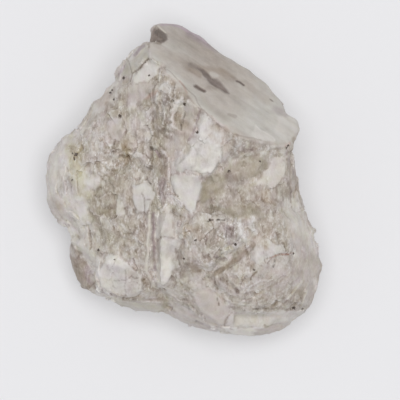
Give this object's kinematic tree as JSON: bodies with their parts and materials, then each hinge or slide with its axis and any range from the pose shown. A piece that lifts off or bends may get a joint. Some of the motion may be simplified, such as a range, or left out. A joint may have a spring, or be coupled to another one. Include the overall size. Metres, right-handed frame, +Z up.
{
  "type": "rough diamond",
  "caption": "Uncut, included diamond crystal: a broken grey-white stone with a smooth glassy cleavage face, frosted plates and a flat break to rest on.",
  "frame": {"origin": "middle of the stone's box, at the bottom, on the plane that the stone rests on", "axes": "+Z up, out of the resting face; +Y towards the pointed end; +X towards the side with the glassy cleavage face"},
  "size_m": [0.0098, 0.011, 0.0066],
  "materials": {
    "diamond": "translucent, frosted on the rough breaks and glassy on the cleavage faces"
  },
  "bodies": {
    "root": {"rough_diamond": "diamond"}
  },
  "joints": []
}
